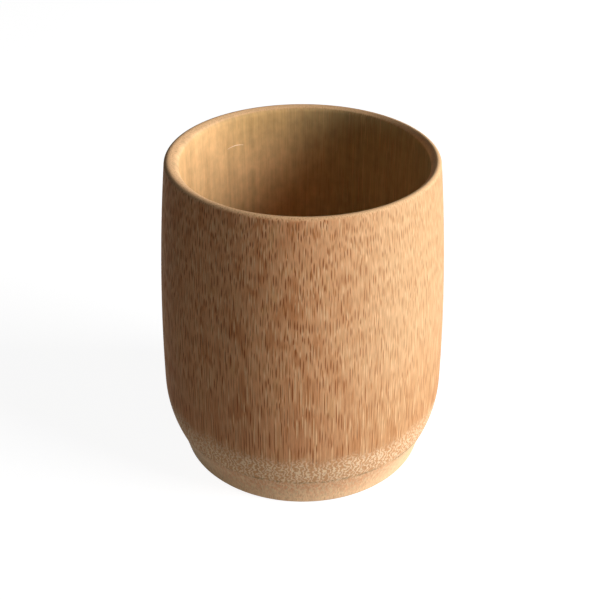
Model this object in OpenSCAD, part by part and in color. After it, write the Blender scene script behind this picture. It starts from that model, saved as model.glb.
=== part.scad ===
// Turned bamboo cup: one length of culm whose own node closes it as the floor.
// The axis is Z and the cup stands on Z = 0. All lengths are in millimetres.

/* [Outside] */
// Height from the resting face to the crest of the lip
cup_h = 90; // [70:1:130]
// Diameter of the belly at its widest
belly_d = 80; // [66:0.5:100]
// Height of the belly's widest circle
belly_z = 22.5; // [16:0.5:40]
// How far the wall draws in from the belly up to the lip
rim_inset = 3.7; // [1:0.1:6]

/* [Foot] */
// How far the foot is set in from the belly
foot_inset = 5; // [4:0.25:7]
// Height at which the foot meets the belly
foot_h = 7; // [4:0.5:11]
// How far the soft crease between foot and belly is set in from the belly
crease_inset = 3.5; // [2:0.25:5]
// Radius of the rounded outer edge that the cup stands inside
foot_edge = 2; // [0.5:0.1:3]
// Width of the foot ring, from the hollow under the floor to the foot's outside
ring_w = 6.75; // [5:0.25:10]
// Radius where the wall of the hollow turns into its ceiling
hollow_corner = 2.5; // [1:0.1:5]
// Small bevel that breaks the inner edge of the foot ring
hollow_break = 0.6; // [0.2:0.1:1.5]

/* [Lip] */
// Radius of the round over the outer edge of the lip
lip_round = 1.1; // [0.5:0.1:1.4]
// Depth of the bevel that falls from the lip's round into the bore
lip_bevel = 1.1; // [0.8:0.1:3]

/* [Bore and floor] */
// Thickness of the wall at the lip, which sets the straight drinking bore
wall_t = 3.3; // [2.8:0.1:6]
// Height of the drinking floor where it meets the wall
floor_h = 13.5; // [11:0.5:20]
// Radius where the bore turns into the floor
floor_corner = 7; // [3:0.5:12]
// Thickness of the diaphragm at its edge, where it has grown out of the wall
diaphragm_t = 5.5; // [3:0.5:7]
// How far the floor sinks towards its middle
floor_dish = 0.8; // [0.2:0.1:1.5]
// How far the ceiling of the hollow rises towards its middle
hollow_arch = 1; // [0.2:0.1:1.5]

/* [Hidden] */

// Facets around the axis, and steps along the arcs of the outline
$fn = 180;
wall_steps = 16;
belly_steps = 10;
corner_steps = 8;
round_steps = 6;
dish_steps = 6;

belly_r = belly_d / 2;
rim_r = belly_r - rim_inset;
foot_r = belly_r - foot_inset;
crease_r = belly_r - crease_inset;
bore_r = rim_r - wall_t;
hollow_r = foot_r - ring_w;
hollow_z = floor_h - diaphragm_t;

// The diaphragm fills the eye that the two corners leave open
eye_r = min(bore_r - floor_corner, hollow_r - hollow_corner);

// Radius of the circle that is upright at its start and falls back by drop over the length run
function bulge_radius(run, drop) = (pow(run, 2) + pow(drop, 2)) / (2 * drop);

// Points on a circle in the half plane of the outline, from one angle to another
function arc(centre, radius, from, to, steps) = [
    for (i = [0 : steps])
        let (angle = from + (to - from) * i / steps)
        centre + radius * [cos(angle), sin(angle)]
];

// The same points without the first, where the stretch before already ends on it
function arc_on(centre, radius, from, to, steps) = [
    for (i = [1 : steps]) arc(centre, radius, from, to, steps)[i]
];

// Belly: an arc from the crease out to the widest circle
belly_radius = bulge_radius(belly_z - foot_h, crease_inset);
belly_centre = [belly_r - belly_radius, belly_z];
crease_angle = -asin((belly_z - foot_h) / belly_radius);

// Wall: a long shallow arc from the widest circle up to the lip
lip_z = cup_h - lip_round;
wall_radius = bulge_radius(lip_z - belly_z, rim_inset);
wall_centre = [belly_r - wall_radius, belly_z];

// Lip: a round that runs on smoothly from the wall's arc and over the crest
lip_lean = asin((lip_z - belly_z) / (wall_radius - lip_round));
lip_centre = wall_centre + (wall_radius - lip_round) * [cos(lip_lean), sin(lip_lean)];

// Bevel: the straight line from the bore's edge that just touches the lip's round
bevel_foot = [bore_r, cup_h - lip_bevel];
bevel_way = bevel_foot - lip_centre;
bevel_angle = 180 - asin(bevel_way[1] / norm(bevel_way)) - acos(lip_round / norm(bevel_way));
crest_angle = 90;

outside = concat(
    arc([foot_r - foot_edge, foot_edge], foot_edge, -90, 0, round_steps),
    arc(belly_centre, belly_radius, crease_angle, 0, belly_steps),
    arc_on(wall_centre, wall_radius, 0, lip_lean, wall_steps),
    arc_on(lip_centre, lip_round, lip_lean, crest_angle, round_steps),
    arc_on(lip_centre, lip_round, crest_angle, bevel_angle, round_steps)
);

// Flat ledges between a corner and the eye, where the eye is narrower than that corner leaves it
floor_ledge = eye_r < bore_r - floor_corner ? [[eye_r, floor_h]] : [];
hollow_ledge = eye_r < hollow_r - hollow_corner ? [[eye_r, hollow_z]] : [];

inside = concat(
    [bevel_foot],
    arc([bore_r - floor_corner, floor_h + floor_corner], floor_corner, 0, -90, corner_steps),
    floor_ledge,
    hollow_ledge,
    arc([hollow_r - hollow_corner, hollow_z - hollow_corner], hollow_corner, 90, 0, round_steps),
    [[hollow_r, hollow_break], [hollow_r + hollow_break, 0]]
);

// A shallow parabola from the middle of the disc to the wall, sunk or raised by depth at the middle
function dish(z, depth) = [
    for (i = [0 : dish_steps])
        let (share = i / dish_steps)
        [eye_r * share, z + depth * (1 - pow(share, 2))]
];

function backwards(points) = [for (i = [len(points) - 1 : -1 : 0]) points[i]];

// The wall of the culm: foot ring, belly, wall and lip outside, bore and flared corners inside
module culm_wall() {
    color("burlywood")
        rotate_extrude()
            polygon(concat(outside, inside));
}

// The woody partition that grew across the culm at its node, dished above and arched below
module node_diaphragm() {
    color("wheat")
        rotate_extrude()
            polygon(concat(dish(hollow_z, hollow_arch), backwards(dish(floor_h, -floor_dish))));
}

culm_wall();
node_diaphragm();
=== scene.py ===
# %% [markdown]
# # A turned bamboo cup
# The cup is one length of bamboo culm, turned on a lathe and left bare. A culm is a tube with a woody
# partition, the diaphragm, at each of its nodes, so one node makes the floor and nobody has to glue a
# bottom in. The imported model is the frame: it says how big the two parts are and where they stand.
# This lesson lays the real surfaces over it: a lathe in Geometry Nodes for the shape, and a solid
# texture of fibre bundles for the wood.

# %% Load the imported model
import math

import bpy
import numpy as np
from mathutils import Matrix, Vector


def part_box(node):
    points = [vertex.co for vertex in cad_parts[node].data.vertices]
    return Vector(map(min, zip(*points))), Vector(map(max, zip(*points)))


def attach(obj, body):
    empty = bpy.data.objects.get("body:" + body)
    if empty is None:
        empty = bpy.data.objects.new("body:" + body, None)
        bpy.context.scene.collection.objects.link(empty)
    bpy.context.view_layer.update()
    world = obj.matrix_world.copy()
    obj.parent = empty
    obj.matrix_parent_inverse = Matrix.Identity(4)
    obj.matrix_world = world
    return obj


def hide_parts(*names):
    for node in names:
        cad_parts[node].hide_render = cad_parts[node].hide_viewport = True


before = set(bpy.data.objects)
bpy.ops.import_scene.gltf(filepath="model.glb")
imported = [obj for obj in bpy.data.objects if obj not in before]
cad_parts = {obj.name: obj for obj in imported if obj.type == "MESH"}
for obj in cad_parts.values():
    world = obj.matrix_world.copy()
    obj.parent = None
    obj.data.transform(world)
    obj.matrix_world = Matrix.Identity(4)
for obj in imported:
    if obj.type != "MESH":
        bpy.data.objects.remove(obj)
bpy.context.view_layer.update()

wall_low, wall_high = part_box("culm_wall")
disc_low, disc_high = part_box("node_diaphragm")
print("cup stands from", tuple(wall_low), "to", tuple(wall_high))

# %% [markdown]
# ## Small helpers
# Colours are picked as sRGB hex values, but shaders count in linear light, so one function turns them.
# A second one adds a node: its settings are the node's own properties, and its inputs are either plain
# values or another node's output. Everything below is built with it, in geometry and in materials.
# Three kinds of node come up so often that each has a short name of its own: arithmetic, a range turned
# into another range, and a mix of two colours.

# %% Helpers
MM = 0.001


def srgb(code):
    """Turn a hex colour such as #DEB080 into linear RGBA."""
    parts = [int(code[i:i + 2], 16) / 255 for i in (1, 3, 5)]
    return [p / 12.92 if p <= 0.04045 else ((p + 0.055) / 1.055) ** 2.4 for p in parts] + [1.0]


def add(tree, kind, inputs=None, **settings):
    """Add one node with its settings, fill or link its inputs, and return its outputs."""
    node = tree.nodes.new(kind)
    for name, value in settings.items():
        setattr(node, name, value)
    for key, value in (inputs or {}).items():
        if isinstance(value, bpy.types.NodeSocket):
            tree.links.new(value, node.inputs[key])
        else:
            node.inputs[key].default_value = value
    return node.outputs


def calc(tree, operation, *values):
    """One step of arithmetic. MULTIPLY_ADD gives the first times the second, plus the third."""
    return add(tree, "ShaderNodeMath", dict(enumerate(values)), operation=operation)[0]


def ramp(tree, value, start, end, gives_start=0.0, gives_end=1.0, soft=False):
    """Turn a value that runs from start to end into one that runs from gives_start to gives_end."""
    return add(tree, "ShaderNodeMapRange", {
        "Value": value, "From Min": start, "From Max": end, "To Min": gives_start, "To Max": gives_end},
        interpolation_type="SMOOTHSTEP" if soft else "LINEAR")[0]


def mixed(tree, share, first, second):
    """Mix two colours: all of the first where share is 0, all of the second where it is 1."""
    return add(tree, "ShaderNodeMix", {0: share, 6: first, 7: second}, data_type="RGBA")[2]


# %% [markdown]
# ## The outline a turner would cut
# A lathe needs only half a section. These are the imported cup's sizes in millimetres, which are estimates
# from a photograph: the belly is widest low down, the wall draws in slowly to the lip, and a soft crease
# sets off the foot. Width and height come from the frame, so the visual cup can't grow out of it.

# %% Sizes of the section
cup_h = (wall_high[2] - wall_low[2]) / MM
belly_r = (wall_high[0] - wall_low[0]) / MM / 2
belly_z = 22.5
rim_inset = 3.7
foot_inset = 5
crease_inset = 3.5
foot_h = 7
foot_edge = 2
ring_w = 6.75
hollow_corner = 2.5
hollow_break = 0.6
lip_round = 1.1
lip_bevel = 1.1
wall_t = 3.3
floor_h = disc_high[2] / MM
floor_corner = 7
hollow_z = disc_low[2] / MM
floor_dish = 0.8
hollow_arch = 1
bevel_soft = 2.2

rim_r = belly_r - rim_inset
foot_r = belly_r - foot_inset
crease_r = belly_r - crease_inset
bore_r = rim_r - wall_t
hollow_r = foot_r - ring_w
eye_r = (disc_high[0] - disc_low[0]) / MM / 2
print(f"height {cup_h:.2f}, belly radius {belly_r:.2f} mm")
print(f"bore radius {bore_r:.2f}, eye radius {eye_r:.2f} mm")

# %% [markdown]
# Each stretch of the outline is an arc or a straight line, written as points close enough together
# that smooth shading hides them. Straight stretches get points too, because the grain's colours and the
# baked textures like even faces.

# %% Stretches of the section
STEP = 1.6


def arc(centre, radius, start, end, steps):
    """Points on a circle of the section, from one angle in degrees to another."""
    angles = np.radians(np.linspace(start, end, steps + 1))
    return np.stack([centre[0] + radius * np.cos(angles), centre[1] + radius * np.sin(angles)], 1)


def straight(start, end):
    """Points along a straight stretch, about one STEP apart."""
    start, end = np.array(start, float), np.array(end, float)
    count = max(1, round(float(np.linalg.norm(end - start)) / STEP))
    return start + (end - start) * np.linspace(0, 1, count + 1)[:, None]


def bulge_radius(run, drop):
    """Radius of the arc that starts upright and falls back by drop over the length run."""
    return (run ** 2 + drop ** 2) / (2 * drop)


def joined(stretches):
    """Put stretches end to end and leave out the points that two of them share."""
    points = [stretches[0][0]]
    for point in np.concatenate(stretches)[1:]:
        if np.linalg.norm(point - points[-1]) > 1e-4:
            points.append(point)
    return np.array(points)


# %% [markdown]
# The lip is the part a drinker feels. A small round takes the outer edge over the crest, and from there
# a straight bevel falls into the bore. The bevel is the line from the bore's edge that just touches the
# round, so the two meet without a kink. A round of its own, bevel_soft, takes off the inner edge.

# %% Outline of the wall
belly_radius = bulge_radius(belly_z - foot_h, crease_inset)
crease_angle = -math.degrees(math.asin((belly_z - foot_h) / belly_radius))
lip_z = cup_h - lip_round
wall_radius = bulge_radius(lip_z - belly_z, rim_inset)
lip_lean = math.degrees(math.asin((lip_z - belly_z) / (wall_radius - lip_round)))
wall_centre = np.array([belly_r - wall_radius, belly_z])
lean = math.radians(lip_lean)
lip_centre = wall_centre + (wall_radius - lip_round) * np.array([math.cos(lean), math.sin(lean)])
bevel_way = np.array([bore_r, cup_h - lip_bevel]) - lip_centre
reach = float(np.linalg.norm(bevel_way))
bevel_angle = 180 - math.degrees(math.asin(bevel_way[1] / reach) + math.acos(lip_round / reach))
bevel_slope = bevel_angle - 90
soft_drop = bevel_soft * math.tan(math.radians(45 - bevel_slope / 2))
soft_centre = [bore_r + bevel_soft, cup_h - lip_bevel - soft_drop]

wall_outline = joined([
    straight([hollow_r + hollow_break, 0], [foot_r - foot_edge, 0]),
    arc([foot_r - foot_edge, foot_edge], foot_edge, -90, 0, 8),
    straight([foot_r, foot_edge], [crease_r, foot_h]),
    arc([belly_r - belly_radius, belly_z], belly_radius, crease_angle, 0, 14),
    arc(wall_centre, wall_radius, 0, lip_lean, 42),
    arc(lip_centre, lip_round, lip_lean, 90, 8),
    arc(lip_centre, lip_round, 90, bevel_angle, 4),
    arc(soft_centre, bevel_soft, bevel_angle, 180, 12),
    straight([bore_r, soft_centre[1]], [bore_r, floor_h + floor_corner]),
    arc([bore_r - floor_corner, floor_h + floor_corner], floor_corner, 0, -90, 12),
    straight([eye_r, floor_h], [eye_r, hollow_z]),
    arc([hollow_r - hollow_corner, hollow_z - hollow_corner], hollow_corner, 90, 0, 8),
    straight([hollow_r, hollow_z - hollow_corner], [hollow_r, hollow_break]),
    straight([hollow_r, hollow_break], [hollow_r + hollow_break, 0]),
])
edge_at = int(np.argmin(np.abs(wall_outline - [bore_r, soft_centre[1]]).sum(1)))
edge_mm = float(np.linalg.norm(np.diff(wall_outline[:edge_at + 1], axis=0), axis=1).sum())
print("wall outline:", len(wall_outline), "points; lip bevel slopes", round(bevel_slope, 1), "degrees")
print(f"the edge of the bore comes {edge_mm:.1f} mm along the outline")

# %% [markdown]
# A hand holds the tool, so the real cup isn't quite true: its bore stands a little to the right of the
# axis and behind it, its bevel runs deeper at the front than at the back, and its top drops a little to
# the front. Each point of the outline gets three shares that say how far it takes part in these. They
# fade out, so that no step shows, and the bevel's share is squared, which leaves the crest level.

# %% Shares of the handwork
bore_shift = (0.6, 0.4)
bevel_tilt = 0.6
top_drop = 0.42
fade_depth = 14


def hand_shares(outline):
    """How far each point follows the bore's shift, the bevel's tilt and the drop of the top."""
    r, z = outline[:, 0], outline[:, 1]
    inner = np.arange(len(outline)) > int(np.argmax(z))
    down_bevel = np.clip((lip_centre[0] - r) / (lip_centre[0] - bore_r), 0, 1)
    from_eye = np.clip((r - eye_r) / (bore_r - eye_r), 0, 1)
    below_edge = np.clip((cup_h - lip_bevel - z) / fade_depth, 0, 1)
    bore = np.where(inner & (z > floor_h - 0.01), down_bevel * from_eye, 0)
    bore = np.where(inner & (r > bore_r + 0.01), down_bevel, bore)
    bevel = np.where(inner, down_bevel ** 2, 0) * (1 - below_edge)
    top = np.clip((z - belly_z) / (cup_h - belly_z), 0, 1)
    return np.stack([bore, bevel, top], 1).astype(np.float32)


# %% [markdown]
# The diaphragm closes the eye that the wall leaves open. Its top sinks a little and its underside
# arches up, as a partition does that grew thin in the middle. Its outline starts and ends on the axis.

# %% Outline of the diaphragm
dish_share = np.linspace(0, 1, 17)
disc_outline = joined([
    np.stack([eye_r * dish_share, hollow_z + hollow_arch * (1 - dish_share ** 2)], 1),
    straight([eye_r, hollow_z], [eye_r, floor_h]),
    np.stack([eye_r * dish_share, floor_h - floor_dish * (1 - dish_share ** 2)], 1)[::-1],
])
print("diaphragm outline:", len(disc_outline), "points")

# %% [markdown]
# ## The lathe, in Geometry Nodes
# Blender has a Screw modifier that turns a section, but a small node tree does it with more to give: it
# lays a flat grid, wraps its long side round the axis, and reads each row's radius and height from the
# outline. On the way it notes two things that the wood needs later: where each corner of the mesh lies
# round the turn and along the section, and how many millimetres of section lie before each point.

# %% Build the lathe tree
lathe = bpy.data.node_groups.new("lathe", "GeometryNodeTree")
lathe.interface.new_socket("Outline", in_out="INPUT", socket_type="NodeSocketGeometry")
around_socket = lathe.interface.new_socket("Faces around", in_out="INPUT", socket_type="NodeSocketInt")
weld_socket = lathe.interface.new_socket("Weld distance", in_out="INPUT", socket_type="NodeSocketFloat")
shift_socket = lathe.interface.new_socket("Bore shift", in_out="INPUT", socket_type="NodeSocketVector")
tilt_socket = lathe.interface.new_socket("Bevel tilt", in_out="INPUT", socket_type="NodeSocketFloat")
drop_socket = lathe.interface.new_socket("Top drop", in_out="INPUT", socket_type="NodeSocketFloat")
wood_socket = lathe.interface.new_socket("Wood", in_out="INPUT", socket_type="NodeSocketMaterial")
lathe.interface.new_socket("Turned", in_out="OUTPUT", socket_type="NodeSocketGeometry")

given = add(lathe, "NodeGroupInput")
rows = add(lathe, "GeometryNodeAttributeDomainSize", {"Geometry": given["Outline"]}, component="MESH")
columns = calc(lathe, "ADD", given["Faces around"], 1)
sheet = add(lathe, "GeometryNodeMeshGrid", {
    "Size X": 1, "Size Y": 1, "Vertices X": columns, "Vertices Y": rows["Point Count"]})
place = add(lathe, "ShaderNodeSeparateXYZ", {0: add(lathe, "GeometryNodeInputPosition")[0]})
turn = calc(lathe, "ADD", place["X"], 0.5)
along = calc(lathe, "ADD", place["Y"], 0.5)
last_row = calc(lathe, "SUBTRACT", rows["Point Count"], 1)
row = calc(lathe, "ROUND", calc(lathe, "MULTIPLY", along, last_row))



def from_outline(value, data_type):
    """Read a value at the outline's point that this row of the sheet belongs to."""
    return add(lathe, "GeometryNodeSampleIndex", {
        "Geometry": given["Outline"], "Value": value, "Index": row},
        data_type=data_type, domain="POINT")[0]


def noted(name, data_type):
    """A value that was noted on the points under a name."""
    return add(lathe, "GeometryNodeInputNamedAttribute", {"Name": name}, data_type=data_type)[0]


section = from_outline(add(lathe, "GeometryNodeInputPosition")[0], "FLOAT_VECTOR")
reach_here = from_outline(noted("outline_mm", "FLOAT"), "FLOAT")
hand_here = from_outline(noted("hand_shares", "FLOAT_VECTOR"), "FLOAT_VECTOR")

section_at = add(lathe, "ShaderNodeSeparateXYZ", {0: section})
angle = calc(lathe, "MULTIPLY", turn, 2 * math.pi)
cosine = calc(lathe, "COSINE", angle)
sine = calc(lathe, "SINE", angle)
turned_at = add(lathe, "ShaderNodeCombineXYZ", {
    "X": calc(lathe, "MULTIPLY", section_at["X"], cosine),
    "Y": calc(lathe, "MULTIPLY", section_at["X"], sine),
    "Z": section_at["Z"]})[0]

# The handwork: the bore shifts to the right and back, and bevel and top drop towards the front
share = add(lathe, "ShaderNodeSeparateXYZ", {0: hand_here})
shifted = add(lathe, "ShaderNodeVectorMath", {
    0: given["Bore shift"], "Scale": share["X"]}, operation="SCALE")[0]
tipped = calc(lathe, "MULTIPLY", share["Y"], given["Bevel tilt"])
tipped = calc(lathe, "MULTIPLY", tipped, sine)
front = ramp(lathe, sine, 1, -1)
dropped = calc(lathe, "MULTIPLY", share["Z"], given["Top drop"])
dropped = calc(lathe, "MULTIPLY", dropped, front)
lowered = add(lathe, "ShaderNodeCombineXYZ", {"Z": calc(lathe, "SUBTRACT", tipped, dropped)})[0]
handwork = add(lathe, "ShaderNodeVectorMath", {0: shifted, 1: lowered}, operation="ADD")[0]

noted_turn = add(lathe, "GeometryNodeStoreNamedAttribute", {
    "Geometry": sheet["Mesh"], "Name": "turn_and_row",
    "Value": add(lathe, "ShaderNodeCombineXYZ", {"X": turn, "Y": along})[0]},
    data_type="FLOAT_VECTOR", domain="CORNER")[0]
noted_reach = add(lathe, "GeometryNodeStoreNamedAttribute", {
    "Geometry": noted_turn, "Name": "outline_mm", "Value": reach_here},
    data_type="FLOAT", domain="POINT")[0]
wrapped = add(lathe, "GeometryNodeSetPosition", {
    "Geometry": noted_reach, "Position": turned_at, "Offset": handwork})[0]
welded = add(lathe, "GeometryNodeMergeByDistance", {
    "Geometry": wrapped, "Distance": given["Weld distance"]})[0]
real = add(lathe, "GeometryNodeRealizeInstances", {"Geometry": welded})[0]
surfaced = add(lathe, "GeometryNodeSetMaterial", {"Geometry": real, "Material": given["Wood"]})[0]
add(lathe, "NodeGroupOutput", {"Turned": surfaced})
print("lathe tree:", len(lathe.nodes), "nodes")

# %% [markdown]
# To turn a piece, its outline becomes a mesh of points in the XZ plane, the tree runs on it once, and
# the result is kept as a plain mesh. The corners also get a texture map for baking: the turn is cut in
# two halves laid one above the other, so the square texture has more pixels round the cup, where the
# fibre bundles are narrow, than along it, where they are long.

# %% Turn an outline into a piece
MAP_MARGIN = 0.006
WELD_MM = 0.002
SHARP_DEGREES = 35


def lay_map(mesh):
    """Lay the map for baking: each half turn is a strip across the whole square."""
    count = len(mesh.loops)
    values = np.empty(count * 3, np.float32)
    mesh.attributes["turn_and_row"].data.foreach_get("vector", values)
    turned, rowed = values[0::3], values[1::3]
    face_of = np.repeat(np.arange(len(mesh.polygons)), [p.loop_total for p in mesh.polygons])
    middle = np.bincount(face_of, turned) / np.bincount(face_of)
    half = np.floor(2 * middle)[face_of]
    across = MAP_MARGIN + (2 * turned - half) * (1 - 2 * MAP_MARGIN)
    up = (half + MAP_MARGIN + rowed * (1 - 2 * MAP_MARGIN)) / 2
    layer = mesh.uv_layers.new(name="OFBake")
    layer.data.foreach_set("uv", np.stack([across, up], 1).astype(np.float32).ravel())
    mesh.attributes.remove(mesh.attributes["turn_and_row"])


def turn_piece(name, outline, faces_around, wood):
    """Run the lathe on an outline in millimetres and return a plain mesh object in metres."""
    mesh = bpy.data.meshes.new(name + "_outline")
    mesh.from_pydata([(r * MM, 0, z * MM) for r, z in outline], [], [])
    steps = np.linalg.norm(np.diff(outline, axis=0), axis=1)
    lengths = np.concatenate([[0], np.cumsum(steps)]).astype(np.float32)
    length_note = mesh.attributes.new("outline_mm", "FLOAT", "POINT")
    length_note.data.foreach_set("value", lengths)
    hand_note = mesh.attributes.new("hand_shares", "FLOAT_VECTOR", "POINT")
    hand_note.data.foreach_set("vector", hand_shares(outline).ravel())
    start = bpy.data.objects.new(name + "_outline", mesh)
    bpy.context.scene.collection.objects.link(start)
    modifier = start.modifiers.new("lathe", "NODES")
    modifier.node_group = lathe
    modifier[around_socket.identifier] = faces_around
    modifier[weld_socket.identifier] = WELD_MM * MM
    modifier[shift_socket.identifier] = (bore_shift[0] * MM, bore_shift[1] * MM, 0)
    modifier[tilt_socket.identifier] = bevel_tilt * MM
    modifier[drop_socket.identifier] = top_drop * MM
    modifier[wood_socket.identifier] = wood
    evaluated = start.evaluated_get(bpy.context.evaluated_depsgraph_get())
    turned = bpy.data.meshes.new_from_object(evaluated)
    bpy.data.objects.remove(start)
    turned.name = name
    lay_map(turned)
    turned.shade_smooth()
    turned.set_sharp_from_angle(angle=math.radians(SHARP_DEGREES))
    piece = bpy.data.objects.new(name, turned)
    bpy.context.scene.collection.objects.link(piece)
    print(name, "has", len(turned.vertices), "points and", len(turned.polygons), "faces")
    return piece


# %% [markdown]
# ## The wood: fibre bundles as a solid texture
# Bamboo has no rings or rays. Its pattern is made of fibre bundles, dark strands that run straight up
# the culm through pale ground tissue. On a split culm they are long lines. On a turned cup the tool cuts
# through them at a slant, and each shows as a dash: short where the wall draws in quickly, near the
# lip, and long where it runs parallel to them, low on the belly.
#
# That can be painted, but it is simpler to build it as it grew. The bundles stand as points in a flat
# map of the culm's cross-section, with the distance round it as one axis and the depth in the wall as
# the other. A point of the surface is dark where it falls on a bundle. The slant, the length of the
# dashes and the flame shapes then come out of the shape by themselves, inside and underneath as well.
#
# The bundles stand in rows, one behind the other, and each row is set off sideways against the one in
# front, as in a real culm. `stagger` is that offset in gaps, and `disorder` says how far a bundle strays
# from its place. Besides the dark bundles there are two finer kinds of strand, brown and pale. Each kind
# has its own `shift`, so that the places of the three have nothing to do with one another.

# %% Real sizes of the fibres, in millimetres
DARK_BUNDLES = dict(gap=0.78, depth_gap=1.1, half_w=0.175, half_depth=0.28, shift=0.0)
BROWN_FIBRES = dict(gap=0.65, depth_gap=1.1, half_w=0.15, half_depth=0.29, shift=11.8)
PALE_FIBRES = dict(gap=0.75, depth_gap=1.1, half_w=0.18, half_depth=0.38, shift=37.5)
stagger = 0.5
disorder = 0.7
fine_w = 0.3
fine_length = 3.0

node_low = 10.6
node_high = 19.0
crinkle_gap = 1.4
crinkle_size = 2.0
crinkle_wander = 3.6

# %% [markdown]
# Bamboo that was only turned and sanded is straw-coloured to tan. The bundles are a reddish brown, the
# ground between them is pale, and the inside is yellower. Most are the wood's own colours in even light;
# the paler right side and the shade inside are painted light and shade, and the foot's paleness is partly
# painted light.

# %% Colours of turned, unstained bamboo
GROUND = srgb("#EBAD7C")
# Painted light: the paler colour of the lit right side
PAINTED_LIGHT_SIDE = srgb("#E3B98B")
PALE_FIBRE = srgb("#F8CC9C")
BUNDLE = srgb("#9A562C")
BROWN_FIBRE = srgb("#B8733F")
WARM_TONE = srgb("#CB8350")
OLIVE_TONE = srgb("#DDA66F")
SHEATH_TONE = srgb("#C88B62")
# Painted light: the sheath's brown where the lamp falls on the right
SHEATH_IN_PAINTED_LIGHT = srgb("#BD9669")
NODE_PALE = srgb("#FFDFB8")
NODE_DARK = srgb("#E0A97A")
# Partly painted light: the foot is paler, also for the light that the floor throws up
FOOT_AND_PAINTED_LIGHT = srgb("#FFD9AD")
FOOT_BROWN = srgb("#F0B386")
INNER = srgb("#F1C58B")
# Painted shade inside: brown under the lip, and olive on the right
UNDER_LIP_PAINTED_SHADE = srgb("#C19D66")
INNER_PAINTED_SHADE = srgb("#A0956C")
LIP = srgb("#F9CC9A")
DRY_FIBRE = srgb("#FFEDD2")
DARK_NODE_LINE = srgb("#6E5230")

# %% [markdown]
# Every layer asks the same question: where in the culm is this point? The answer comes from the
# object's own coordinates, which are metres here and are turned into millimetres. They are fixed to the
# wood, so the pattern stays put when the cup or the camera moves.

# %% Coordinates of the wood
def culm_coordinates(tree):
    """Where a point lies in the culm, in millimetres: place, height, way round, and radius."""
    at = add(tree, "ShaderNodeTexCoord")["Object"]
    place = add(tree, "ShaderNodeVectorMath", {0: at, "Scale": 1 / MM}, operation="SCALE")[0]
    axes = add(tree, "ShaderNodeSeparateXYZ", {0: place})
    flat = add(tree, "ShaderNodeCombineXYZ", {"X": axes["X"], "Y": axes["Y"]})[0]
    radius = add(tree, "ShaderNodeVectorMath", {0: flat}, operation="LENGTH")["Value"]
    bearing = calc(tree, "ARCTAN2", axes["X"], calc(tree, "MULTIPLY", axes["Y"], -1))
    return place, axes["Z"], calc(tree, "MULTIPLY", bearing, belly_r), radius


def noise(tree, place, size, height, detail=1.0):
    """Soft noise from 0 to 1 whose clouds are size wide and height tall, in millimetres."""
    stretched = add(tree, "ShaderNodeVectorMath", {
        0: place, 1: (1 / size, 1 / size, 1 / height)}, operation="MULTIPLY")[0]
    return add(tree, "ShaderNodeTexNoise", {
        "Vector": stretched, "Scale": 1.0, "Detail": detail, "Roughness": 0.5})[0]


# %% [markdown]
# The depth is where the trick lies. It is the radius, counted 1.6 times over, and the rows lean a little
# against the axis of the cup, as they would in a culm that tapers. Both numbers were tuned until the
# dashes came out about as long as in the photograph. The lean gives the dashes an end even where the
# wall stands upright. A slow sway and a small ripple bend the rows, since no bundle is quite straight.

# %% Depth in the culm's wall
depth_gain = 1.6
culm_taper = -0.085
sway_mm = 1.3
sway_size = 9
sway_height = 24
ripple_mm = 1.1
ripple_size = 2.2
ripple_height = 7.0


def culm_depth(tree, place, height, radius):
    """Depth of a point in the wall of the culm, in millimetres, bent as the bundles are."""
    gained = calc(tree, "MULTIPLY", radius, depth_gain)
    tipped = calc(tree, "MULTIPLY_ADD", height, culm_taper, gained)
    sway = noise(tree, place, sway_size, sway_height)
    swayed = calc(tree, "MULTIPLY_ADD", sway, sway_mm, tipped)
    ripple = noise(tree, place, ripple_size, ripple_height)
    return calc(tree, "MULTIPLY_ADD", ripple, ripple_mm, swayed)


# %% [markdown]
# A Voronoi texture on the flat map finds the nearest bundle. The map is divided by the gaps first, so
# that its cells are square, and slanted by the stagger. The way back to the nearest bundle has to be
# straightened again, or each bundle would be slanted too.

# %% Find the nearest bundle
BUNDLE_EDGE = 1.35
BUNDLE_HEART = 0.45


def bundles(tree, around, depth, gap, depth_gap, half_w, half_depth, shift):
    """How far a point is inside a bundle, from 0 outside to 1 at its heart, and the bundle's own lot."""
    row = calc(tree, "MULTIPLY_ADD", depth, 1 / depth_gap, shift)
    column = calc(tree, "MULTIPLY_ADD", around, 1 / gap, shift)
    column = calc(tree, "MULTIPLY_ADD", row, stagger, column)
    cells = add(tree, "ShaderNodeCombineXYZ", {"X": column, "Y": row})[0]
    cell = add(tree, "ShaderNodeTexVoronoi", {
        "Vector": cells, "Scale": 1.0, "Randomness": disorder}, voronoi_dimensions="2D", feature="F1")
    off = add(tree, "ShaderNodeVectorMath", {0: cells, 1: cell["Position"]}, operation="SUBTRACT")[0]
    off_row = add(tree, "ShaderNodeSeparateXYZ", {0: off})["Y"]
    off_lean = add(tree, "ShaderNodeCombineXYZ", {"X": calc(tree, "MULTIPLY", off_row, -stagger)})[0]
    off = add(tree, "ShaderNodeVectorMath", {0: off, 1: off_lean}, operation="ADD")[0]
    off_shape = add(tree, "ShaderNodeVectorMath", {
        0: off, 1: (gap / half_w, depth_gap / half_depth, 0)}, operation="MULTIPLY")[0]
    far = add(tree, "ShaderNodeVectorMath", {0: off_shape}, operation="LENGTH")["Value"]
    inside = ramp(tree, far, BUNDLE_EDGE, BUNDLE_HEART, soft=True)
    return inside, add(tree, "ShaderNodeSeparateColor", {0: cell["Color"]})


# %% [markdown]
# ## The bamboo of the wall
# Turned and sanded moso bamboo, left bare: matt with a faint sheen, because sanding closes the ground
# tissue but leaves the cut bundles a touch rougher and lower. The layers go on as they lie in the wood.
#
# The ground comes first. Its slow tones follow the depth, so they end in the same flame shapes as the
# bundles do. The right side, where the lamp falls, is painted paler higher up, painted light, and a
# stretch above the node is browner, where the leaf sheath hid it.

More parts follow.
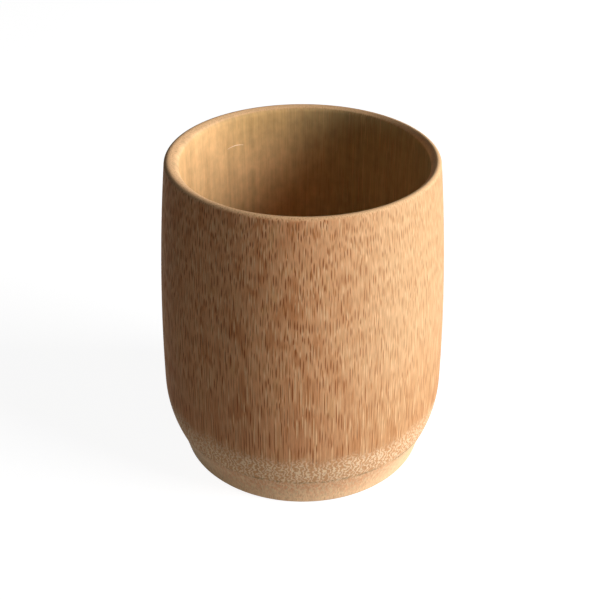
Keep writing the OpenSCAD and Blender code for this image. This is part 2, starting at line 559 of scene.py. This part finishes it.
# %% Ground of the wall
TONE_WIDTH = 4.5
TONE_DEPTH = 1.8
# Where the painted light on the right side lies: millimetres to the right of the axis, and height
PAINTED_LIGHT_EAST = (-4.0, 27.0)
PAINTED_LIGHT_HEIGHT = (node_high + 4, 50.0)
SHEATH_HEIGHT = (48.0, 26.0)


def slow_tones(tree, around, depth):
    """The ground colour with its warm and olive patches."""
    tone_map = add(tree, "ShaderNodeCombineXYZ", {"X": around, "Y": depth})[0]
    tone_at = add(tree, "ShaderNodeVectorMath", {
        0: tone_map, 1: (1 / TONE_WIDTH, 1 / TONE_DEPTH, 0)}, operation="MULTIPLY")[0]
    tone = add(tree, "ShaderNodeTexNoise", {"Vector": tone_at, "Scale": 1.0, "Detail": 2.0})[0]
    warm = ramp(tree, tone, 0.45, 0.68, 0.0, 0.65, soft=True)
    olive = ramp(tree, tone, 0.45, 0.25, 0.0, 0.55, soft=True)
    return mixed(tree, olive, mixed(tree, warm, GROUND, WARM_TONE), OLIVE_TONE)


def sheath_and_painted_light(tree, colour, height, painted_light):
    """Painted light: paler wood on the lit right side. And browner wood where the sheath hid it."""
    painted_light_much = calc(tree, "MULTIPLY", ramp(tree, height, *PAINTED_LIGHT_HEIGHT, 0.1, 0.85), painted_light)
    colour = mixed(tree, painted_light_much, colour, PAINTED_LIGHT_SIDE)
    sheathed = ramp(tree, height, *SHEATH_HEIGHT, 0.0, 0.4, soft=True)
    # The sheath's brown gets a paler copy on the right, painted light
    return mixed(tree, sheathed, colour, mixed(tree, painted_light, SHEATH_TONE, SHEATH_IN_PAINTED_LIGHT))


# %% [markdown]
# The strands come next. Each pale, brown or dark one has a strength of its own, drawn from the lot that
# the Voronoi texture gives it. Brown and dark ones are painted fainter on the lit right side, painted
# light, and the dark ones fade below the node.

# %% Strands of the wall
FAINT_IN_PAINTED_LIGHT = 0.55


def fibre_layers(tree, around, depth, height, painted_light):
    """How strongly each kind of strand shows at a point: pale, brown and dark."""
    # Painted light: the brown and dark strands fade on the lit right side
    strength = ramp(tree, painted_light, 0, 1, 1.0, FAINT_IN_PAINTED_LIGHT)
    pale, pale_lot = bundles(tree, around, depth, **PALE_FIBRES)
    pale_much = calc(tree, "MULTIPLY", pale, pale_lot[0])
    brown, brown_lot = bundles(tree, around, depth, **BROWN_FIBRES)
    brown_much = calc(tree, "MULTIPLY", calc(tree, "MULTIPLY", brown, brown_lot[1]), strength)
    dark, dark_lot = bundles(tree, around, depth, **DARK_BUNDLES)
    above_foot = ramp(tree, height, node_low - 1.0, node_low + 1.0, 0.35, 1.0)
    dark = calc(tree, "MULTIPLY", dark, above_foot)
    dark_own = ramp(tree, dark_lot[0], 0.0, 0.75, 0.22, 0.9)
    dark_much = calc(tree, "MULTIPLY", calc(tree, "MULTIPLY", dark, dark_own), strength)
    return pale_much, brown_much, dark_much


# %% [markdown]
# At the node the strands leave their upright way and cross, and a cut through them shows a band of pale
# crinkles. Bent stripes come near to it: a cosine round the cup, pushed about by noise. The real band is
# more of a zigzag. Under it lies a thin, broken, darker line.

# %% Band and scar of the node
BAND_WAVE = 5.0
DARK_LINE_HALF = (0.7, 0.1)


def node_band(tree, place, around, height, outer):
    """The share of the band, its crinkled strands from 0 to 1, and their colour."""
    band_height = calc(tree, "MULTIPLY_ADD", noise(tree, place, 6.0, 6.0, 2.0), BAND_WAVE, height)
    band_top = ramp(tree, band_height, node_high + 5.5, node_high - 0.5, soft=True)
    band_foot = ramp(tree, band_height, node_low, node_low + 4.0, soft=True)
    band = calc(tree, "MULTIPLY", calc(tree, "MULTIPLY", band_top, band_foot), outer)
    wander = noise(tree, place, crinkle_size, crinkle_size * 0.75, 2.0)
    strand = calc(tree, "MULTIPLY", around, 1 / crinkle_gap)
    strand = calc(tree, "MULTIPLY_ADD", wander, crinkle_wander, strand)
    strand = calc(tree, "COSINE", calc(tree, "MULTIPLY", strand, 2 * math.pi))
    worm = ramp(tree, strand, -0.5, 0.95, soft=True)
    return band, worm, mixed(tree, worm, NODE_DARK, NODE_PALE)


def dark_line_share(tree, place, height, outer):
    """The share of the thin, broken, darker line just under the node."""
    line_far = calc(tree, "ABSOLUTE", calc(tree, "SUBTRACT", height, node_low - 0.1))
    line_core = ramp(tree, line_far, *DARK_LINE_HALF, soft=True)
    line_breaks = ramp(tree, noise(tree, place, 3.0, 3.0, 2.0), 0.42, 0.6, 0.0, 0.4)
    return calc(tree, "MULTIPLY", calc(tree, "MULTIPLY", line_core, line_breaks), outer)


# %% [markdown]
# Below the node the foot is paler and plainer. Its paleness is partly its own colour and partly painted
# light, standing in for light that the floor throws up. At the front the brown of the node runs on down
# it in short, soft marks.

# %% Wood of the foot
FOOT_HEIGHT = (node_low + 1.5, node_low - 1.0)
FOOT_FRONT = (-22.0, -33.0)


def foot_layer(tree, place, height, north, outer):
    """How far the foot's colour takes over, and that colour, whose paleness is partly painted light."""
    foot_much = calc(tree, "MULTIPLY", ramp(tree, height, *FOOT_HEIGHT, 0.0, 0.97), outer)
    mottle = ramp(tree, noise(tree, place, 1.0, 3.2), 0.3, 0.7, 0.93, 1.03)
    foot_colour_and_light = add(tree, "ShaderNodeVectorMath", {0: FOOT_AND_PAINTED_LIGHT[:3], "Scale": mottle}, operation="SCALE")[0]
    front = ramp(tree, north, *FOOT_FRONT, soft=True)
    high = ramp(tree, height, 0.5, 7.5, 0.1, 0.9)
    marks = ramp(tree, noise(tree, place, 0.75, 2.2, 2.0), 0.36, 0.62, soft=True)
    brown = calc(tree, "MULTIPLY", calc(tree, "MULTIPLY", front, high), marks)
    return foot_much, mixed(tree, brown, foot_colour_and_light, FOOT_BROWN)


# %% [markdown]
# Inside, the wood is yellower, and its strands are few and faint. Under the lip towards the back right
# it is painted browner, painted shade, and olive painted shade covers the right, where the inside lies in
# shade. The bore runs along the fibres, so it shows long upright streaks where the outside shows dashes.

# %% Wood of the inside
STREAK_WIDTH = 2.0
STREAK_HEIGHT = 60
PAINTED_SHADE_HEIGHT = (cup_h - 17, cup_h - 4)
PAINTED_SHADE_EAST = (-12.0, 20.0)


def inside_tones(tree, colour, height, east, north, inner):
    """The colour inside: yellow, with painted shade under the lip at the back right, and olive painted
    shade to the right.
    """
    colour = mixed(tree, calc(tree, "MULTIPLY", inner, 0.8), colour, INNER)
    # Painted shade: browner under the lip towards the back right
    back_right = calc(tree, "MULTIPLY_ADD", north, 0.5, east)
    lip_shade_much = ramp(tree, back_right, -20.0, 0.0, soft=True)
    under_lip = ramp(tree, height, *PAINTED_SHADE_HEIGHT, 0.0, 0.8)
    lip_shade_much = calc(tree, "MULTIPLY", calc(tree, "MULTIPLY", lip_shade_much, under_lip), inner)
    colour = mixed(tree, lip_shade_much, colour, UNDER_LIP_PAINTED_SHADE)
    # Painted shade: olive over the right side, where the inside lies in shade
    painted_shade_much = calc(tree, "MULTIPLY", ramp(tree, east, *PAINTED_SHADE_EAST, soft=True), inner)
    return mixed(tree, painted_shade_much, colour, INNER_PAINTED_SHADE)


def inside_light(tree, place, around, height, inner):
    """How much lighter or darker the streaks and clouds make the inside."""
    streak_at = add(tree, "ShaderNodeCombineXYZ", {
        "X": calc(tree, "MULTIPLY", around, 1 / STREAK_WIDTH),
        "Z": calc(tree, "MULTIPLY", height, 1 / STREAK_HEIGHT)})[0]
    streak = add(tree, "ShaderNodeTexNoise", {"Vector": streak_at, "Scale": 1.0, "Detail": 3.0})[0]
    streak_light = ramp(tree, streak, 0.3, 0.7, -0.12, 0.12)
    cloud_light = ramp(tree, noise(tree, place, 2.2, 3.2, 5.0), 0.3, 0.7, -0.12, 0.1)
    return calc(tree, "MULTIPLY", calc(tree, "ADD", streak_light, cloud_light), inner)


# %% [markdown]
# The lip is sanded until it is pale and smooth. Height alone can't say where it is, since the bevel
# falls inwards, so its limits are millimetres along the section, counted back from the edge of the bore.

# %% Wood of the lip
LIP_RISE = (edge_mm - 5.8, edge_mm - 4.6)
LIP_FALL = (edge_mm - 0.1, edge_mm - 0.9)


def lip_share(tree, north):
    """How far the pale wood of the lip takes over. It starts and ends a little later to the front."""
    section_mm = add(tree, "ShaderNodeAttribute", attribute_name="outline_mm")["Fac"]
    lip_start = calc(tree, "MULTIPLY_ADD", north, 0.022, section_mm)
    lip_end = calc(tree, "MULTIPLY_ADD", north, 0.035, section_mm)
    lip_rise = ramp(tree, lip_start, *LIP_RISE, 0.0, 0.85, soft=True)
    lip_fall = ramp(tree, lip_end, *LIP_FALL, soft=True)
    return calc(tree, "MULTIPLY", lip_rise, lip_fall)


# %% [markdown]
# Now the layers are put together: the ground with its sides, foot, inside and lip, then the strands,
# quiet where the wood is plain, then the node. Fine fibres and the streaks inside lighten or darken all
# of it. The cut ends of the bundles lie a few hundredths of a millimetre low, and a bump map can carry
# that.

# %% Put the wall's wood together
BUMP_MM = 0.06


def turned_moso_bamboo(name):
    """Bare moso bamboo as the lathe and the sandpaper leave it."""
    wood = bpy.data.materials.new(name)
    wood.use_nodes = True
    tree = wood.node_tree
    tree.nodes.clear()
    place, height, around, radius = culm_coordinates(tree)
    east, north = add(tree, "ShaderNodeSeparateXYZ", {0: place})[0:2]
    depth = culm_depth(tree, place, height, radius)
    outer = ramp(tree, radius, bore_r + 0.3, bore_r + 1.5)
    inner = calc(tree, "SUBTRACT", 1.0, outer)
    # Painted light: the right side, where the window lamp falls, is painted paler
    painted_light = ramp(tree, east, *PAINTED_LIGHT_EAST, soft=True)

    colour = sheath_and_painted_light(tree, slow_tones(tree, around, depth), height, painted_light)
    foot_much, foot_colour_and_light = foot_layer(tree, place, height, north, outer)
    colour = mixed(tree, foot_much, colour, foot_colour_and_light)
    colour = inside_tones(tree, colour, height, east, north, inner)
    lip_much = lip_share(tree, north)
    colour = mixed(tree, lip_much, colour, LIP)

    # The strands are quiet inside, on the lip and on the foot
    plain = calc(tree, "MAXIMUM", inner, calc(tree, "MULTIPLY", lip_much, 0.85))
    plain = calc(tree, "MAXIMUM", plain, calc(tree, "MULTIPLY", foot_much, 0.7))
    quiet = ramp(tree, plain, 0, 1, 1.0, 0.1)
    pale_much, brown_much, dark_much = fibre_layers(tree, around, depth, height, painted_light)
    for much, strand_colour in (
            (pale_much, PALE_FIBRE), (brown_much, BROWN_FIBRE), (dark_much, BUNDLE)):
        colour = mixed(tree, calc(tree, "MULTIPLY", much, quiet), colour, strand_colour)

    band, worm, crinkled = node_band(tree, place, around, height, outer)
    colour = mixed(tree, band, colour, crinkled)
    # A thin, broken, darker line just under the node band
    colour = mixed(tree, dark_line_share(tree, place, height, outer), colour, DARK_NODE_LINE)

    # Fine fibres of the ground tissue, under a third of a millimetre wide
    fine = noise(tree, place, fine_w, fine_length, 2.0)
    fine_light = ramp(tree, fine, 0.25, 0.75, -0.14, 0.12)
    fine_much = ramp(tree, inner, 0, 1, 1.0, 0.15)
    streak_light = inside_light(tree, place, around, height, inner)
    light = calc(tree, "MULTIPLY_ADD", fine_light, fine_much, streak_light)
    light = calc(tree, "ADD", light, 1.0)
    colour = add(tree, "ShaderNodeVectorMath", {0: colour, "Scale": light}, operation="SCALE")[0]

    # Sanded ground is smoother than the cut ends of the bundles, and these lie lower
    rough = ramp(tree, dark_much, 0, 1, 0.62, 0.75)
    low = calc(tree, "MULTIPLY_ADD", dark_much, -1.0, fine)
    low = calc(tree, "MULTIPLY_ADD", band, worm, low)
    relief = add(tree, "ShaderNodeBump", {"Height": low, "Strength": 0.2, "Distance": BUMP_MM * MM})[0]
    shader = add(tree, "ShaderNodeBsdfPrincipled", {
        "Base Color": colour, "Roughness": rough, "Normal": relief, "Specular IOR Level": 0.05})[0]
    add(tree, "ShaderNodeOutputMaterial", {"Surface": shader})
    return wood


wall_wood = turned_moso_bamboo("turned_moso_bamboo")
print("wall wood:", len(wall_wood.node_tree.nodes), "nodes")

# %% [markdown]
# ## The bamboo of the diaphragm
# Across a node the fibres leave their upright way and run criss-cross, like felt. The tool leaves fine
# rings on such a flat face, which sandpaper doesn't reach. So this wood is speckled with short pale
# strands on a slightly browner ground, and it carries rings half a millimetre apart.

# %% Wood of the diaphragm
ring_gap = 0.5
ring_share = 0.25
strand_size = 0.9


def turned_diaphragm_bamboo(name):
    """Bare bamboo of the node's partition: a felt of short fibres with the rings of the tool."""
    wood = bpy.data.materials.new(name)
    wood.use_nodes = True
    tree = wood.node_tree
    tree.nodes.clear()
    coordinates = culm_coordinates(tree)
    place, radius = coordinates[0], coordinates[3]
    east = add(tree, "ShaderNodeSeparateXYZ", {0: place})["X"]
    # Painted shade: olive towards the right, as on the inner wall
    ground = mixed(tree, ramp(tree, east, -30.0, 30.0, 0.2, 0.8), INNER, INNER_PAINTED_SHADE)

    felt = add(tree, "ShaderNodeTexNoise", {
        "Vector": place, "Scale": 1 / strand_size, "Detail": 3.0, "Roughness": 0.6,
        "Distortion": 2.5})[0]
    strands = ramp(tree, felt, 0.5, 0.66, 0.0, 0.45, soft=True)
    pores = ramp(tree, felt, 0.42, 0.3, 0.0, 0.5, soft=True)
    colour = mixed(tree, pores, mixed(tree, strands, ground, PALE_FIBRE), BROWN_FIBRE)
    cloudy = ramp(tree, noise(tree, place, 7.0, 7.0, 3.0), 0, 1, 0.86, 1.08)
    colour = add(tree, "ShaderNodeVectorMath", {0: colour, "Scale": cloudy}, operation="SCALE")[0]

    rings = calc(tree, "SINE", calc(tree, "MULTIPLY", radius, 2 * math.pi / ring_gap))
    lie = calc(tree, "MULTIPLY_ADD", rings, ring_share, felt)
    relief = add(tree, "ShaderNodeBump", {"Height": lie, "Strength": 0.3, "Distance": BUMP_MM * MM})[0]
    shader = add(tree, "ShaderNodeBsdfPrincipled", {
        "Base Color": colour, "Roughness": 0.7, "Normal": relief, "Specular IOR Level": 0.05})[0]
    add(tree, "ShaderNodeOutputMaterial", {"Surface": shader})
    return wood


floor_wood = turned_diaphragm_bamboo("turned_diaphragm_bamboo")
print("diaphragm wood:", len(floor_wood.node_tree.nodes), "nodes")

# %% [markdown]
# ## Turn the two parts
# The wall and the diaphragm meet face to face in the eye, where they have grown together. Each rides on
# the frame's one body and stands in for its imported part.

# %% The two parts
WALL_FACES_AROUND = 320
FLOOR_FACES_AROUND = 192
cup_wall = turn_piece("bamboo_wall", wall_outline, WALL_FACES_AROUND, wall_wood)
cup_floor = turn_piece("bamboo_floor", disc_outline, FLOOR_FACES_AROUND, floor_wood)

for piece, node, slot in (
        (cup_wall, "culm_wall", "bamboo_wall"),
        (cup_floor, "node_diaphragm", "bamboo_diaphragm")):
    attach(piece, "root")
    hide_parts(node)

# %% [markdown]
# A single loose fibre clings to the inner wall, a leftover of sanding: a hair of pale wood that lifts
# off the bore a little in its middle. It is a bent rod, thinner at its ends, and it sinks its ends into
# the wall so that it doesn't float.

# %% Loose fibre
fibre_r = 0.13
fibre_from = 132.4
fibre_to = 122.5
fibre_z = 80.35
fibre_bow = 0.5
fibre_sunk = 0.02
fibre_lift = 0.16
fibre_end = 0.4
fibre_sides = 6
fibre_steps = 16


def fibre_piece(name, wood):
    """A thin bent rod along the bore, between two bearings in degrees, bowed up in its middle."""
    points, faces = [], []
    for i in range(fibre_steps + 1):
        share = i / fibre_steps
        bow = math.sin(math.pi * share)
        bearing = math.radians(fibre_from + (fibre_to - fibre_from) * share)
        z = fibre_z + fibre_bow * bow
        from_axis = bore_r + fibre_sunk - fibre_lift * bow
        thick = fibre_r * (fibre_end + (1 - fibre_end) * bow)
        for j in range(fibre_sides):
            turn = 2 * math.pi * j / fibre_sides
            r = from_axis + thick * math.cos(turn)
            x = r * math.cos(bearing) + bore_shift[0]
            y = r * math.sin(bearing) + bore_shift[1]
            points.append((x, y, z + thick * math.sin(turn)))
    for i in range(fibre_steps):
        for j in range(fibre_sides):
            k = (j + 1) % fibre_sides
            near, far = i * fibre_sides, (i + 1) * fibre_sides
            faces.append((near + j, far + j, far + k, near + k))
    faces.append(tuple(range(fibre_sides)))
    last = fibre_steps * fibre_sides
    faces.append(tuple(reversed(range(last, last + fibre_sides))))
    mesh = bpy.data.meshes.new(name)
    mesh.from_pydata([tuple(MM * v for v in point) for point in points], [], faces)
    mesh.shade_smooth()
    mesh.materials.append(wood)
    piece = bpy.data.objects.new(name, mesh)
    bpy.context.scene.collection.objects.link(piece)
    return piece


FLECK = 0.6


def loose_fibre_wood(name):
    """Pale dry fibre with faint flecks."""
    wood = bpy.data.materials.new(name)
    wood.use_nodes = True
    tree = wood.node_tree
    tree.nodes.clear()
    place = culm_coordinates(tree)[0]
    colour = mixed(tree, noise(tree, place, FLECK, FLECK), DRY_FIBRE, PALE_FIBRE)
    shader = add(tree, "ShaderNodeBsdfPrincipled", {"Base Color": colour, "Roughness": 0.6})[0]
    add(tree, "ShaderNodeOutputMaterial", {"Surface": shader})
    return wood


fibre = fibre_piece("loose_fibre", loose_fibre_wood("dry_bamboo_fibre"))
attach(fibre, "root")

# %% [markdown]
# ## Floor, light and camera
# The photograph is a cut-out on white, lit by one soft source at the right. A white floor keeps the
# cup's shadow, and camera rays see it and the world as white.

# %% White floor and world
NEAR_PAPER = (0.45, 0.44, 0.42, 1)
FAR_PAPER = (0.06, 0.05, 0.04, 1)
SEEN_PAPER = (0.3, 0.3, 0.3, 1)
PAPER_GLOW = 0.92
ROOM_LIGHT = 0.035
FAR_M = 0.17
NEAR_M = 0.05


def background_rays(tree):
    """1 for rays that come from the camera, a mirror or glass, 0 for those that light the cup."""
    path = add(tree, "ShaderNodeLightPath")
    seen = calc(tree, "ADD", path["Is Camera Ray"], path["Is Glossy Ray"])
    return add(tree, "ShaderNodeMath", {0: seen, 1: path["Is Transmission Ray"]},
               operation="ADD", use_clamp=True)[0]


def paper_material(name):
    """Paper that the camera sees as white, and that throws little light on the cup from afar."""
    paper = bpy.data.materials.new(name)
    paper.use_nodes = True
    tree = paper.node_tree
    tree.nodes.clear()
    seen = background_rays(tree)
    at = add(tree, "ShaderNodeTexCoord")["Object"]
    far = add(tree, "ShaderNodeVectorMath", {0: at}, operation="LENGTH")["Value"]
    near = ramp(tree, far, FAR_M, NEAR_M, soft=True)
    tint = mixed(tree, seen, mixed(tree, near, FAR_PAPER, NEAR_PAPER), SEEN_PAPER)
    matt = add(tree, "ShaderNodeBsdfDiffuse", {"Color": tint})[0]
    strength = calc(tree, "MULTIPLY", seen, PAPER_GLOW)
    glow = add(tree, "ShaderNodeEmission", {"Color": (1, 1, 1, 1), "Strength": strength})[0]
    both = add(tree, "ShaderNodeAddShader", {0: glow, 1: matt})[0]
    add(tree, "ShaderNodeOutputMaterial", {"Surface": both})
    return paper


FLOOR_HALF = 3.0
floor_mesh = bpy.data.meshes.new("floor")
floor_mesh.from_pydata([(-FLOOR_HALF, -FLOOR_HALF, 0), (FLOOR_HALF, -FLOOR_HALF, 0),
                        (FLOOR_HALF, FLOOR_HALF, 0), (-FLOOR_HALF, FLOOR_HALF, 0)], [], [(0, 1, 2, 3)])
floor = bpy.data.objects.new("floor", floor_mesh)
floor_mesh.materials.append(paper_material("white_paper_sweep"))
bpy.context.scene.collection.objects.link(floor)

world = bpy.data.worlds.new("white_room")
bpy.context.scene.world = world
world.use_nodes = True
sky = world.node_tree
sky.nodes.clear()
sky_strength = ramp(sky, background_rays(sky), 0, 1, ROOM_LIGHT, 1.0)
sky_glow = add(sky, "ShaderNodeBackground", {"Color": (1, 1, 1, 1), "Strength": sky_strength})[0]
add(sky, "ShaderNodeOutputWorld", {"Surface": sky_glow})

# %% [markdown]
# The strong lamp is a window at the right, a little in front, and big enough to soften the shadow's
# edge. Two weak ones stand for light that a room throws back, from the front left and the front right.
# An image of a room could light the cup too, but three lamps are easier to reason about. Nothing lights
# the back, so from behind the cup is in shade.

# %% Lamps
def soft_lamp(name, place, target, size, watts):
    """A square area lamp at place, in metres, turned to face target."""
    lamp = bpy.data.lights.new(name, "AREA")
    lamp.shape = "SQUARE"
    lamp.size = size
    lamp.energy = watts
    holder = bpy.data.objects.new(name, lamp)
    holder.location = place
    holder.rotation_euler = (Vector(target) - Vector(place)).to_track_quat("-Z", "Y").to_euler()
    bpy.context.scene.collection.objects.link(holder)
    return holder


soft_lamp("window_right", (0.99, -0.285, 0.42), (0, 0, 0.05), 0.65, 16.4)
soft_lamp("room_left", (-0.5, -0.95, 0.1), (0, 0, 0.05), 0.16, 0.5)
soft_lamp("room_front", (0.45, -0.97, 0.1), (0, 0, 0.05), 0.3, 1.4)

# %% [markdown]
# The camera has the photographer's view. The outline of the cup in the photograph fixes it, for a cup of
# this size: about 26 cm in front of the axis and 20 cm above the table, looking down by 31.6 degrees.

# %% Camera
PHOTO_PX = 600
SENSOR_MM = 36
focal_px = 1074.1
axis_px = 302.9
pitch = math.radians(31.62)
camera_back = 259.11
camera_up = 204.71
camera_data = bpy.data.cameras.new("camera")
camera_data.sensor_width = SENSOR_MM
camera_data.lens = SENSOR_MM * focal_px / PHOTO_PX
camera = bpy.data.objects.new("camera", camera_data)
camera.location = (0, -camera_back * MM, camera_up * MM)
camera.rotation_euler = (math.pi / 2 - pitch, 0, math.atan((axis_px - PHOTO_PX / 2) / focal_px))
camera_data.clip_start = 0.01
bpy.context.scene.collection.objects.link(camera)
bpy.context.scene.camera = camera
bpy.context.scene.view_settings.view_transform = "Standard"
